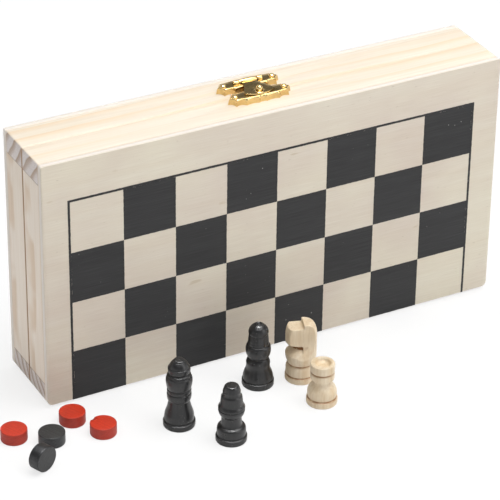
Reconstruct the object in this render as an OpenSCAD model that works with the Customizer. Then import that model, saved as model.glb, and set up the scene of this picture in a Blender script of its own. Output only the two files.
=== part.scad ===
// A folding games case: two shallow pine trays with plywood faces, hinged along one long
// edge and held shut by a brass clasp. Open flat, the outside is a chessboard and the inside
// a backgammon board. Men, counters and dice are packed in the front tray, and a few of
// them stand on the table in front of it.
// X runs along the fold, Y from front to back and Z up. The origin is on the table, in the
// middle of the ground that the case and the loose men cover.

/* [Case] */
// Length of the case, along the fold
case_w = 227; // [224:0.5:250]
// Height of each tray, from the fold to the latch edge
half_h = 120; // [112:0.5:130]
// Depth of each tray, rails and panel together
half_t = 19.5; // [18.5:0.1:24]
// Thickness of the plywood panels
panel_t = 3; // [2:0.1:3.5]
// Thickness of the pine rails
rail_t = 10; // [8:0.1:11]
// Gap between the rims of the shut trays
seam_gap = 0.4; // [0.2:0.05:0.8]
// Chamfer on the outer edge of each rim
seam_ease = 0.5; // [0.2:0.05:1]
// Radius of the two corners at the fold, seen from the front
fold_corner_r = 2.5; // [1:0.1:8]
// Radius of the two corners at the latch edge
latch_corner_r = 0.8; // [0.3:0.1:4]
// Distance of the hinge axis outside the fold edge
fold_clear = 0.1; // [0.05:0.05:0.5]

/* [Printed boards] */
// Side of one chessboard square
square = 25; // [20:0.5:26.5]
// Width of the line round the chessboard
board_line = 1.1; // [0.5:0.1:2]
// Distance of the chessboard's middle from the case's middle
board_shift = -0.5; // [-2:0.1:2]
// Length of the backgammon points
point_l = 84; // [60:1:98]
// Gap between the bases of two points
point_gap = 0.6; // [0.2:0.1:2]
// Thickness of the printed ink
ink_t = 0.05; // [0.05:0.01:0.1]

/* [Hinges] */
// Distance between the middles of the two butt hinges
hinge_spacing = 140; // [100:1:180]
// Length of a hinge
hinge_l = 20; // [16:0.5:28]
// Height of a hinge leaf
leaf_h = 6.5; // [5:0.1:7]
// Thickness of a hinge leaf
leaf_t = 0.5; // [0.4:0.05:0.8]
// Outer diameter of the hinge knuckles
knuckle_d = 2.5; // [2.3:0.1:3]
// Diameter of the hinge pins
pin_d = 1.2; // [1:0.05:1.3]
// Distance between the two nails in a leaf
leaf_nail_spacing = 12; // [9:0.5:12.5]
// Length of the nails in the hinge leaves
leaf_nail_l = 7; // [4:0.5:12]
// Diameter of their shanks
leaf_nail_d = 1.1; // [0.8:0.05:1.4]
// Diameter of their countersunk heads
leaf_nail_head_d = 2.2; // [1.8:0.05:2.6]

/* [Clasp] */
// Distance of the clasp from the middle of the latch edge
clasp_x = -2; // [-20:0.5:20]
// Length of a clasp plate, from tip to tip
plate_l = 32; // [30:0.5:36]
// Width of a clasp plate
plate_w = 8.4; // [7.6:0.1:8.4]
// Height of a clasp plate
plate_h = 2.5; // [2.2:0.1:3]
// Thickness of the pressed brass
brass_t = 0.5; // [0.4:0.05:0.6]
// How far the skirt of a plate spreads at each side
plate_flare = 1.1; // [0.8:0.05:1.3]
// How far the skirt spreads at each end
tip_flare = 1.6; // [1:0.1:2]
// Depth of the flutes at a plate's pointed ends
tip_flute = 0.4; // [0.2:0.05:0.6]
// Depth of the flutes at the corners of its long sides
side_flute = 0.8; // [0.4:0.05:1]
// Distance of the catch plate's middle in front of the seam
catch_y = 4.5; // [4.4:0.1:6]
// Distance of the hinge plate's middle behind the seam
hinge_plate_y = 6.8; // [6:0.1:9]
// Distance between the two nails in a plate
plate_nail_spacing = 24.2; // [22:0.1:25.5]
// Diameter of the nails' domed heads
dome_d = 2.8; // [2.2:0.1:3]
// Height of the domed heads
dome_h = 1; // [0.6:0.1:1.2]
// Diameter of the nails' shanks
plate_nail_d = 1.2; // [1:0.05:1.4]
// Length of the nails' shanks
plate_nail_l = 10; // [7:0.5:11]
// Diameter of the tongue's rolled knuckle
roll_d = 2.8; // [2.5:0.1:3]
// Length of the rolled knuckle
roll_l = 9; // [7.5:0.1:10]
// Height of the knuckle's axis above the wood
roll_z = 3.4; // [3.2:0.05:3.8]
// Diameter of the clasp's pin
clasp_pin_d = 1; // [0.8:0.05:1.2]
// Length of the plate's lug at each end of the roll
lug_l = 2.4; // [1.5:0.1:3]
// Diameter of the lugs
lug_d = 2.3; // [2:0.1:2.6]
// Reach of the tongue, from the knuckle's axis to its rounded tip
tongue_l = 14.2; // [13:0.1:15]
// Width of the tongue across its two corners
tongue_w = 14.8; // [11:0.1:16]
// Width of the tongue's neck
neck_w = 7; // [6:0.1:7.4]
// Clearance between the tongue and the plates under it
tongue_clear = 0.25; // [0.1:0.05:0.4]
// Diameter of the ball on the catch stud
ball_d = 2.6; // [2.2:0.1:2.8]
// Height of the stud's top above the tongue
ball_rise = 3; // [2.4:0.1:3.4]
// Clearance round the ball in the tongue's hole
ball_clear = 0.4; // [0.35:0.05:0.6]

/* [Men] */
// Diameter of the foot of the king, queen, bishop, knight and rook
foot_d = 14.1; // [13:0.1:14.3]
// Height of the king
king_h = 34; // [30:0.1:36]
// Height of the queen
queen_h = 31.6; // [28:0.1:34]
// Height of the bishop
bishop_h = 28; // [25:0.1:31]
// Height of the knight
knight_h = 29.6; // [28:0.1:32]
// Height of the rook
rook_h = 20.3; // [18:0.1:24]
// Diameter of a pawn's foot
pawn_foot_d = 12.4; // [11:0.1:13.5]
// Height of a pawn
pawn_h = 19.5; // [17:0.1:22]
// Depth of the dish in the top of a rook
dish_depth = 1.5; // [0.5:0.1:2]
// Diameter of that dish
dish_d = 7.2; // [6:0.1:8]
// Thickness of the knight's head
head_t = 8; // [7:0.1:9]
// Radius of the scoop in each of its cheeks
scoop_r = 20; // [16:0.5:30]
// Height of the mouth above the table
mouth_z = 18.2; // [17.8:0.1:19]
// How far the scoops' middle lies below the knight's crown
scoop_drop = 6; // [4:0.1:7]
// How far the nose lies below the crown
nose_drop = 2; // [1:0.1:2.5]
// Width of the mouth's opening at the lips
lips_gap = 1.8; // [1:0.1:2.5]
// How far the throat falls away under the jaw
throat_drop = 5.2; // [4:0.1:7]
// Distance of the saw cut's end from the knight's middle
slit_r = 3; // [2.6:0.1:4]

/* [Counters and dice] */
// Diameter of a counter
disc_d = 11.8; // [11:0.1:12.5]
// Thickness of a counter
disc_t = 5.4; // [4.5:0.1:6]
// Chamfer on the edges of a counter
disc_ease = 0.25; // [0.1:0.05:0.6]
// Side of a die
die_s = 8; // [7:0.1:9]
// Diameter of a die's pips
pip_d = 1.3; // [1:0.1:1.5]

/* [Packing] */
// Gap between packed pieces, and between them and the tray
pack_gap = 0.3; // [0.2:0.05:0.5]

/* [Hidden] */
$fn = 48;
eps = 0.01;

// Where things stand on the table, measured from the origin
case_x = 14.15;
case_y = 31.8;
king_at = [-52.85, -24];
bishop_at = [-37.85, -44.5];
queen_at = [-7.15, -11.1];
knight_at = [12.05, -15.6];
rook_at = [11.35, -36.7];
red_left_at = [-121.75, -2.1];
red_middle_at = [-93.75, -1.3];
red_right_at = [-85.35, -15.4];
black_flat_at = [-108.05, -11.5];
black_edge_at = [-119.75, -28.1];
knight_turn = 162;
black_edge_turn = -57;
nick_turn = 150;

// Case
knuckle_r = knuckle_d / 2;
pin_z = knuckle_r;
fold_z = pin_z + fold_clear;
top_z = fold_z + half_h;
rim_y = -seam_gap / 2;
face_y = rim_y - half_t;
panel_in_y = face_y + panel_t;
rail_d = half_t - panel_t;
inner_w = case_w - 2 * rail_t;
inner_h = half_h - 2 * rail_t;
floor_z = fold_z + rail_t;

// Printed boards
columns = 8;
rows = 4;
ink_split = 0.02;
points = 6;

// Hinges
knuckle_gap = 0.15;
run_clear = 0.05;
knuckle_clear = 0.2;
leaf_z = pin_z + knuckle_r + knuckle_gap;
leaf_nail_z = leaf_z + leaf_h / 2;
knuckle_l = (hinge_l - 2 * knuckle_gap) / 3;
outer_knuckles = [-(knuckle_l + knuckle_gap), knuckle_l + knuckle_gap];

// Clasp: the cusps of a plate's outline as shares of its half length and half width
cusps = [[1, 0], [0.83, 0.86], [0.54, 1]];
flute_steps = 5;
stud_stem_d = 1.5;
blade_z = plate_h + tongue_clear;
blade_reach = hinge_plate_y + catch_y;
stud_top = blade_z + brass_t + ball_rise;

// Knight: how far the nose cut goes past the middle, how far the scoops bite into the cheeks,
// and the width of the mouth's saw cut
nose_back = 0.6;
scoop_bite = 0.1;
slit_gap = 0.5;

// Packing: two rows of men that stand on their feet, with a roll of counters over them
pack_columns = 14;
pack_pitch = (inner_w - pack_gap) / pack_columns;
row_a_z = floor_z + pack_gap;
row_b_z = row_a_z + pawn_h + pack_gap;
roll_z0 = row_b_z + king_h + pack_gap;

// Colours
module pine() color([0.93, 0.86, 0.74]) children();
module plywood() color([0.84, 0.79, 0.70]) children();
module dark_ink() color([0.22, 0.22, 0.23]) children();
module red_ink() color([0.66, 0.24, 0.17]) children();
module brass() color([0.80, 0.66, 0.34]) children();
module black_wood() color([0.16, 0.16, 0.17]) children();
module pale_wood() color([0.91, 0.83, 0.69]) children();
module red_wood() color([0.76, 0.25, 0.16]) children();
module ivory() color([0.95, 0.93, 0.88]) children();

// Moves what is drawn about the case's own middle to where the case stands
module in_case() translate([case_x, case_y, 0]) children();

// The rear tray is the front one turned over in the plane of the seam
module rear() mirror([0, 1, 0]) children();

// Extrudes a shape drawn in X and Z from y0 back to y1
module slab(y0, y1) translate([0, y1, 0]) rotate([90, 0, 0]) linear_extrude(y1 - y0) children();

// A square corner with a round of radius r taken out, for cutting from a sharp corner
module corner_waste(r) difference() {
    translate([-eps, -eps]) square(r + eps);
    translate([r, r]) circle(r);
}

// Outline of a tray, seen from the front
module tray_outline() difference() {
    translate([-case_w / 2, fold_z]) square([case_w, half_h]);
    for (side = [0, 1]) mirror([side, 0]) {
        translate([-case_w / 2, fold_z]) corner_waste(fold_corner_r);
        translate([-case_w / 2, top_z]) mirror([0, 1]) corner_waste(latch_corner_r);
    }
}

module panel() slab(face_y, panel_in_y) tray_outline();

// Section of a rail: x is its distance in from the outside of the tray, y the depth
module rail_section() polygon([
    [0, panel_in_y], [0, rim_y - seam_ease], [seam_ease, rim_y], [rail_t, rim_y], [rail_t, panel_in_y]
]);

// A long rail on its outer face, from end to end of the case
module long_rail() rotate([0, -90, 0]) linear_extrude(case_w, center = true) rail_section();

// A short rail on its outer face, between the two long ones
module short_rail() linear_extrude(inner_h) rail_section();

// Rounds the ends of a rail as the panel's corners are
module sanded() intersection() {
    slab(panel_in_y - eps, rim_y + eps) tray_outline();
    children();
}

// What each hinge takes out of the rail it is let into
module hinge_mortises() for (side = [-1, 1]) translate([side * hinge_spacing / 2, 0, 0]) {
    translate([-hinge_l / 2 - run_clear, rim_y - leaf_t, fold_z - 1])
        cube([hinge_l + 2 * run_clear, leaf_t + 1, leaf_z + leaf_h - fold_z + 1]);
    translate([-hinge_l / 2 - run_clear, 0, pin_z]) rotate([0, 90, 0])
        cylinder(h = hinge_l + 2 * run_clear, r = knuckle_r + knuckle_clear);
    leaf_nail_shanks();
}

module hinge_rail() difference() {
    sanded() translate([0, 0, fold_z]) long_rail();
    hinge_mortises();
}

module latch_rail(plate_y) difference() {
    sanded() translate([0, 0, top_z]) mirror([0, 0, 1]) long_rail();
    plate_nail_shanks(plate_y);
}

module left_rail() translate([-case_w / 2, 0, floor_z]) short_rail();

module right_rail() mirror([1, 0, 0]) left_rail();

// Printed chessboard, half on each tray. The square at the fold in the first column is dark
// on one tray and light on the other, so that the board goes on across the fold.
module board_print(dark_first) slab(face_y - ink_t, face_y) translate([board_shift, fold_z]) {
    for (column = [0 : columns - 1], row = [0 : rows - 1])
        if ((column + row) % 2 == (dark_first ? 0 : 1))
            translate([(column - columns / 2) * square + ink_split, row * square + ink_split])
                square(square - 2 * ink_split);
    difference() {
        translate([-columns / 2 * square - board_line, 0])
            square([columns * square + 2 * board_line, rows * square + board_line]);
        translate([-columns / 2 * square, -eps]) square([columns * square, rows * square + eps]);
    }
}

// Printed backgammon points: six from each short side, in two colours by turns
module points_print(dark) slab(panel_in_y, panel_in_y + ink_t) translate([0, floor_z])
    for (side = [0, 1]) mirror([side, 0])
        for (i = [0 : points - 1])
            if ((i + side) % 2 == (dark ? 0 : 1))
                translate([-inner_w / 2, (i + 0.5) * inner_h / points]) polygon([
                    [0, (point_gap - inner_h / points) / 2], [point_l, 0],
                    [0, (inner_h / points - point_gap) / 2]
                ]);

// Nails of the hinge leaves, driven in from the rim
module leaf_nail_places() for (side = [-1, 1])
    translate([side * leaf_nail_spacing / 2, rim_y, leaf_nail_z]) rotate([90, 0, 0]) children();

module leaf_nail_shanks() leaf_nail_places() cylinder(h = leaf_nail_l, d = leaf_nail_d);

module leaf_nail_heads() leaf_nail_places()
    cylinder(h = leaf_t, d1 = leaf_nail_head_d, d2 = leaf_nail_d);

module hinge_nails() for (side = [-1, 1]) translate([side * hinge_spacing / 2, 0, 0]) {
    leaf_nail_shanks();
    leaf_nail_heads();
}

// A leaf of a butt hinge with its knuckles, whose middles are given
module hinge_leaf(knuckles, bore_d) difference() {
    union() {
        translate([-hinge_l / 2, rim_y - leaf_t, leaf_z]) cube([hinge_l, leaf_t, leaf_h]);
        for (x = knuckles) translate([x - knuckle_l / 2, 0, 0]) {
            translate([0, rim_y - leaf_t, pin_z]) cube([knuckle_l, leaf_t, leaf_z - pin_z + eps]);
            translate([0, 0, pin_z]) rotate([0, 90, 0]) cylinder(h = knuckle_l, r = knuckle_r);
        }
    }
    translate([-hinge_l / 2 - 1, 0, pin_z]) rotate([0, 90, 0]) cylinder(h = hinge_l + 2, d = bore_d);
    leaf_nail_shanks();
    leaf_nail_heads();
}

module front_leaf(side) translate([side * hinge_spacing / 2, 0, 0]) hinge_leaf(outer_knuckles, pin_d);

module rear_leaf(side) translate([side * hinge_spacing / 2, 0, 0]) rear()
    hinge_leaf([0], pin_d + 2 * run_clear);

module hinge_pin(side) translate([side * hinge_spacing / 2 - hinge_l / 2, 0, pin_z]) rotate([0, 90, 0])
    cylinder(h = hinge_l, d = pin_d);

// Outline of a clasp plate at the wood: pointed ends, with a hollow flute between each two
// cusps of the edge. A flute runs from a to b and is cut to the depth given.
function flute(a, b, depth) =
    let (inwards = [a[1] - b[1], b[0] - a[0]] / norm(b - a))
    [for (i = [1 : flute_steps]) let (t = i / flute_steps)
        a + (b - a) * t + inwards * 4 * depth * t * (1 - t)];

function plate_quarter(l, w) =
    let (c = [for (p = cusps) [p[0] * l / 2, p[1] * w / 2]])
    concat(flute(c[0], c[1], tip_flute), flute(c[1], c[2], side_flute));

module plate_outline(l, w) {
    quarter = plate_quarter(l, w);
    last = len(quarter) - 1;
    polygon([
        [l / 2, 0],
        for (p = quarter) p,
        for (i = [last : -1 : 0]) [-quarter[i][0], quarter[i][1]],
        [-l / 2, 0],
        for (p = quarter) -p,
        for (i = [last : -1 : 0]) [quarter[i][0], -quarter[i][1]]
    ]);
}

// The pressed cap: a scalloped shell, open below, whose skirt spreads to the wood
module plate_cap(l, w, h) linear_extrude(
    h, scale = [1 - 2 * tip_flare / l, 1 - 2 * plate_flare / w], slices = 1, segments = 1
) plate_outline(l, w);

module plate_shell() difference() {
    plate_cap(plate_l, plate_w, plate_h);
    translate([0, 0, -brass_t]) plate_cap(plate_l - 2 * brass_t, plate_w - 2 * brass_t, plate_h);
    for (side = [-1, 1]) translate([side * plate_nail_spacing / 2, 0, 0])
        cylinder(h = plate_h + 1, d = plate_nail_d);
}

// Places what is drawn on the wood of the latch edge, at a distance behind the seam
module on_latch(y) translate([clasp_x, y, top_z]) children();

module plate_nail_shanks(y) on_latch(y) for (side = [-1, 1])
    translate([side * plate_nail_spacing / 2, 0, plate_h - plate_nail_l])
        cylinder(h = plate_nail_l + eps, d = plate_nail_d);

module plate_nails(y) {
    plate_nail_shanks(y);
    on_latch(y) for (side = [-1, 1]) translate([side * plate_nail_spacing / 2, 0, plate_h]) dome();
}

module dome() {
    r = (dome_d * dome_d / 4 + dome_h * dome_h) / (2 * dome_h);
    rotate_extrude() intersection() {
        translate([0, dome_h - r]) circle(r);
        square([dome_d / 2, dome_h]);
    }
}

module catch_plate() on_latch(-catch_y) difference() {
    plate_shell();
    cylinder(h = plate_h + 1, d = stud_stem_d);
}

// Ball stud riveted through the catch plate
module stud() on_latch(-catch_y) {
    rivet_z = plate_h - 2 * brass_t;
    translate([0, 0, stud_top - ball_d / 2]) sphere(d = ball_d);
    translate([0, 0, rivet_z]) cylinder(h = stud_top - ball_d / 2 - rivet_z, d = stud_stem_d);
    translate([0, 0, rivet_z]) cylinder(h = brass_t, d = ball_d);
}

// Hinge plate: a slot for the rolled knuckle, with a lug at each end that holds the pin
module hinge_plate() on_latch(hinge_plate_y) difference() {
    union() {
        plate_shell();
        for (side = [0, 1]) mirror([side, 0, 0]) translate([roll_l / 2 + knuckle_gap, 0, 0]) {
            translate([0, 0, roll_z]) rotate([0, 90, 0]) cylinder(h = lug_l, d = lug_d);
            translate([0, -lug_d / 2, plate_h - brass_t]) cube([lug_l, lug_d, roll_z - plate_h + brass_t]);
        }
    }
    translate([-roll_l / 2 - knuckle_gap, -roll_d / 2 - knuckle_clear, plate_h - 2 * brass_t])
        cube([roll_l + 2 * knuckle_gap, roll_d + 2 * knuckle_clear, roll_z]);
    clasp_axle(clasp_pin_d, 2 * lug_l + 1);
}

module clasp_axle(d, extra) translate([-(roll_l + extra) / 2, 0, roll_z]) rotate([0, 90, 0])
    cylinder(h = roll_l + extra, d = d);

// Outline of the tongue, drawn from the knuckle's axis towards the seam: a neck, shoulders
// that spread to two corners, and a rounded tip
module tongue_outline() {
    shoulder_y = -3.6;
    corner_y = 2.6 - tongue_l;
    tip_r = (tongue_w * tongue_w / 4 + 2.6 * 2.6) / (2 * 2.6);
    union() {
        polygon([
            [-neck_w / 2, 0], [-neck_w / 2, shoulder_y], [-tongue_w * 0.35, shoulder_y - 1.3],
            [-tongue_w / 2, corner_y], [tongue_w / 2, corner_y],
            [tongue_w * 0.35, shoulder_y - 1.3], [neck_w / 2, shoulder_y], [neck_w / 2, 0]
        ]);
        intersection() {
            translate([0, tip_r - tongue_l]) circle(tip_r);
            translate([-tongue_w / 2, -tongue_l]) square([tongue_w, 2.6 + eps]);
        }
    }
}

module tongue() on_latch(hinge_plate_y) difference() {
    union() {
        translate([-roll_l / 2, 0, roll_z]) rotate([0, 90, 0]) cylinder(h = roll_l, d = roll_d);
        translate([0, 0, blade_z]) linear_extrude(brass_t) tongue_outline();
    }
    clasp_axle(clasp_pin_d + 2 * run_clear, 1);
    translate([0, -blade_reach, 0]) cylinder(h = roll_z * 2, d = ball_d + 2 * ball_clear);
}

// Outlines of the turned men, from the edge of the foot to the crown, as radius and height.
// Each is stretched to the foot and height set above.
king_turning = [
    [6.85, 0], [7.05, 0.4], [7.05, 2], [6.5, 2.3], [6.5, 2.6], [6.55, 3], [6.4, 4.6], [6.3, 5.8],
    [5.8, 7.4], [5.3, 9.2], [4.95, 10.6], [4.6, 11.8], [4.55, 12.3], [4.9, 12.9], [5.2, 13.8],
    [5.25, 15.4], [5.2, 16.7], [5, 17], [5.25, 17.3], [5.3, 19.2], [5.05, 19.5], [5.35, 19.8],
    [5.6, 21.6], [5.72, 23.6], [5.65, 25.2], [5.4, 25.5], [5.4, 25.8], [5.3, 26.4], [4.8, 27],
    [4.45, 27.2], [4.4, 27.6], [4.55, 28], [4.7, 29], [4.72, 30.2], [4.45, 30.6], [4.1, 31.6],
    [3.5, 32.5], [2.6, 33.3], [1.4, 33.9], [0, 34]
];
queen_turning = [
    [6.85, 0], [7.05, 0.4], [7.05, 2.5], [6.75, 2.9], [6.75, 3.2], [6.95, 3.6], [6.6, 5],
    [6.1, 6.7], [5.5, 8.2], [5, 9.4], [4.95, 10], [5.15, 10.8], [5.2, 12.4], [5, 13.4], [4.5, 14],
    [4.5, 14.5], [4.8, 15], [4.85, 16], [4.75, 16.4], [5.2, 16.9], [5.4, 17.8], [5.42, 19.4],
    [5.2, 20.6], [4.7, 21.1], [4.75, 22.5], [4.55, 24.5], [4.4, 26], [4.25, 26.3], [4.5, 26.8],
    [4.5, 27.8], [4.2, 28.8], [3.5, 29.9], [2.5, 30.8], [1.6, 31.2], [1.3, 31.6], [0, 31.6]
];
bishop_turning = [
    [6.85, 0], [7.05, 0.4], [7.05, 3.7], [6.55, 4], [6.55, 4.4], [6.5, 6], [6.4, 7.2], [6.1, 7.9],
    [5.5, 8.3], [4.75, 8.7], [4.6, 9.4], [4.6, 11.6], [4.8, 12.2], [5.2, 13.6], [5.35, 15],
    [5.35, 15.4], [5.85, 15.9], [5.85, 16.8], [5.5, 17.8], [5.1, 18.3], [4.9, 20], [4.45, 23.2],
    [4, 23.5], [4.05, 24.3], [3.8, 25.2], [3.3, 27], [3, 27.7], [2.6, 28], [0, 28]
];
rook_turning = [
    [6.75, 0], [7.05, 0.4], [7.05, 2.6], [6.35, 2.9], [6.35, 3.2], [6.5, 3.6], [6.6, 4.8],
    [6.45, 5.8], [6.1, 6.8], [5.6, 7.7], [5, 8.5], [4.65, 9.1], [4.6, 9.7], [4.8, 10.3],
    [5.25, 10.8], [5.42, 11.4], [5.42, 15.3], [4.85, 15.6], [4.85, 16.1], [5.42, 16.4],
    [5.5, 19.9], [5.2, 20.3], [0, 20.3]
];
knight_turning = [
    [6.85, 0], [7.05, 0.4], [7.05, 2.7], [6.4, 3], [6.4, 3.3], [6.7, 3.8], [6.75, 6.6],
    [6.5, 7.8], [5.7, 8.7], [5.7, 9], [6.2, 9.6], [6.9, 11.8], [7.05, 13.2], [7.05, 24.6],
    [6.85, 26.2], [6.3, 28], [5.7, 29.1], [4.5, 29.8], [0, 30]
];
pawn_turning = [
    [6, 0], [6.2, 0.4], [6.2, 2], [5.7, 2.3], [5.7, 2.6], [5.9, 3], [5.6, 4.6], [4.9, 6.2],
    [4, 7.8], [3.3, 9.6], [3, 11.2], [3.7, 11.6], [3.9, 12.1], [3.6, 12.6], [2.6, 12.9],
    [3.3, 13.6], [3.75, 14.6], [3.9, 15.7], [3.75, 16.9], [3.2, 18.1], [2.3, 19], [1.2, 19.4], [0, 19.5]
];

function stretched(outline, d, h) =
    let (r = max([for (p = outline) p[0]]), top = max([for (p = outline) p[1]]))
    concat([[0, 0]], [for (p = outline) [p[0] * d / 2 / r, p[1] * h / top]]);

module turned(outline, d, h) rotate_extrude() polygon(stretched(outline, d, h));

module king() turned(king_turning, foot_d, king_h);

module queen() turned(queen_turning, foot_d, queen_h);

module bishop() turned(bishop_turning, foot_d, bishop_h);

module pawn() turned(pawn_turning, pawn_foot_d, pawn_h);

module rook() difference() {
    turned(rook_turning, foot_d, rook_h);
    translate([0, 0, rook_h - dish_depth])
        cylinder(h = 2 * dish_depth, d1 = dish_d - dish_depth, d2 = dish_d + dish_depth);
}

// The knight is a turned blank whose cheeks are milled away, with the nose cut down and a
// notch turned into the front half under the jaw. The nose points along X.
module knight() difference() {
    difference() {
        turned(knight_turning, foot_d, knight_h);
        translate([-nose_back, -foot_d, knight_h - nose_drop]) cube([foot_d, 2 * foot_d, nose_drop + 1]);
    }
    for (side = [0, 1]) mirror([0, side, 0]) knight_cheek();
    intersection() {
        translate([0, -foot_d, 0]) cube([foot_d, 2 * foot_d, knight_h]);
        rotate_extrude() translate([0, mouth_z]) knight_mouth();
    }
}

// Waste from one cheek: upright above the scoop's middle, and swept outwards below it
module knight_cheek() {
    scoop_z = knight_h - scoop_drop;
    translate([0, head_t / 2 + scoop_r - scoop_bite, scoop_z]) rotate([0, 90, 0])
        cylinder(h = 2 * foot_d, r = scoop_r, center = true);
    translate([-foot_d, head_t / 2, scoop_z]) cube([2 * foot_d, foot_d, scoop_drop + 1]);
}

// Half section of the notch: a short saw cut that opens out to a throat sloping down to the
// chest, and a jaw above it
module knight_mouth() {
    reach = foot_d / 2 + 1;
    polygon([
        [slit_r, -slit_gap / 2], [reach, -throat_drop], [reach, lips_gap],
        [(slit_r + reach) / 2, lips_gap * 0.55], [slit_r, slit_gap / 2]
    ]);
}

module disc() rotate_extrude() polygon([
    [0, 0], [disc_d / 2 - disc_ease, 0], [disc_d / 2, disc_ease], [disc_d / 2, disc_t - disc_ease],
    [disc_d / 2 - disc_ease, disc_t], [0, disc_t]
]);

// Pips of each face of a die, as places on a three by three grid
pip_faces = [
    [[0, 0]],
    [[-1, -1], [1, 1]],
    [[-1, -1], [0, 0], [1, 1]],
    [[-1, -1], [-1, 1], [1, -1], [1, 1]],
    [[-1, -1], [-1, 1], [0, 0], [1, -1], [1, 1]],
    [[-1, -1], [-1, 0], [-1, 1], [1, -1], [1, 0], [1, 1]]
];
pip_turns = [[0, 90, 0], [90, 0, 0], [0, 0, 0], [180, 0, 0], [-90, 0, 0], [0, -90, 0]];

module die() translate([0, 0, die_s / 2]) difference() {
    intersection() {
        cube(die_s, center = true);
        sphere(d = die_s * 1.45);
    }
    for (face = [0 : 5]) rotate(pip_turns[face])
        for (p = pip_faces[face]) translate([p[0], p[1], 2.25] * die_s / 4) translate([0, 0, -die_s / 16])
            sphere(d = pip_d);
}

// Packed rows: each piece stands on its foot against the front panel
module in_column(column, z, d) in_case() translate([
    -inner_w / 2 + pack_gap / 2 + (column + 0.5) * pack_pitch, panel_in_y + pack_gap + d / 2, z
]) children();

module row_a(columns) for (c = columns) in_column(c, row_a_z, foot_d) children();

module row_b(columns) for (c = columns) in_column(c, row_b_z, foot_d) children();

// Counters on edge, face to face, from the place number given
module disc_roll(first, count) in_case()
    for (i = [first : first + count - 1])
        translate([
            -inner_w / 2 + pack_gap + i * (disc_t + pack_gap), panel_in_y + pack_gap + disc_d / 2,
            roll_z0 + disc_d / 2
        ]) rotate([0, 90, 0]) disc();

// Case
module front_panel() plywood() in_case() panel();
module front_hinge_rail() pine() in_case() hinge_rail();
module front_latch_rail() pine() in_case() latch_rail(-catch_y);
module front_left_rail() pine() in_case() left_rail();
module front_right_rail() pine() in_case() right_rail();
module rear_panel() plywood() in_case() rear() panel();
module rear_hinge_rail() pine() in_case() rear() hinge_rail();
module rear_latch_rail() pine() in_case() rear() latch_rail(-hinge_plate_y);
module rear_left_rail() pine() in_case() rear() left_rail();
module rear_right_rail() pine() in_case() rear() right_rail();

// Printed boards
module front_board_print() dark_ink() in_case() board_print(true);
module rear_board_print() dark_ink() in_case() rear() board_print(false);
module front_points_dark() dark_ink() in_case() points_print(true);
module front_points_red() red_ink() in_case() points_print(false);
module rear_points_dark() dark_ink() in_case() rear() points_print(false);
module rear_points_red() red_ink() in_case() rear() points_print(true);

// Hinges
module left_hinge_front_leaf() brass() in_case() front_leaf(-1);
module left_hinge_rear_leaf() brass() in_case() rear_leaf(-1);
module left_hinge_pin() brass() in_case() hinge_pin(-1);
module right_hinge_front_leaf() brass() in_case() front_leaf(1);
module right_hinge_rear_leaf() brass() in_case() rear_leaf(1);
module right_hinge_pin() brass() in_case() hinge_pin(1);
module front_hinge_nails() brass() in_case() hinge_nails();
module rear_hinge_nails() brass() in_case() rear() hinge_nails();

// Clasp
module clasp_catch_plate() brass() in_case() catch_plate();
module clasp_stud() brass() in_case() stud();
module clasp_catch_nails() brass() in_case() plate_nails(-catch_y);
module clasp_hinge_plate() brass() in_case() hinge_plate();
module clasp_pin() brass() in_case() on_latch(hinge_plate_y)
    clasp_axle(clasp_pin_d, 2 * (knuckle_gap + lug_l));
module clasp_hinge_nails() brass() in_case() plate_nails(hinge_plate_y);
module clasp_tongue() brass() in_case() tongue();

// Men and counters on the table
module black_king() black_wood() translate(king_at) king();
module black_queen() black_wood() translate(queen_at) queen();
module black_bishop() black_wood() translate(bishop_at) bishop();
module white_knight() pale_wood() translate(knight_at) rotate(knight_turn) knight();
module white_rook() pale_wood() translate(rook_at) rook();
module red_disc_left() red_wood() translate(red_left_at) disc();
module red_disc_middle() red_wood() translate(red_middle_at) disc();
module red_disc_right() red_wood() translate(red_right_at) difference() {
    disc();
    rotate(nick_turn) translate([disc_d / 2, 0, disc_t]) sphere(1);
}
module black_disc_flat() black_wood() translate(black_flat_at) disc();
module black_disc_on_edge() black_wood() translate([black_edge_at[0], black_edge_at[1], disc_d / 2])
    rotate([0, 90, black_edge_turn]) translate([0, 0, -disc_t / 2]) disc();

// Men, counters and dice packed in the front tray
module packed_black_pawns() black_wood() row_a([0 : 7]) pawn();
module packed_white_pawns() pale_wood() {
    row_a([8 : 13]) pawn();
    row_b([0, 1]) pawn();
}
module packed_white_rook() pale_wood() row_b([2]) rook();
module packed_black_rooks() black_wood() row_b([3, 4]) rook();
module packed_white_knight() pale_wood() row_b([5]) knight();
module packed_black_knights() black_wood() row_b([6, 7]) knight();
module packed_black_bishop() black_wood() row_b([8]) bishop();
module packed_white_bishops() pale_wood() row_b([9, 10]) bishop();
module packed_white_queen() pale_wood() row_b([11]) queen();
module packed_white_king() pale_wood() row_b([12]) king();
module packed_red_discs() red_wood() disc_roll(0, 12);
module packed_black_discs() black_wood() disc_roll(12, 13);
module packed_dice() ivory() for (i = [0, 1])
    in_column(pack_columns - 1, row_b_z + i * (die_s + pack_gap), die_s) die();

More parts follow.
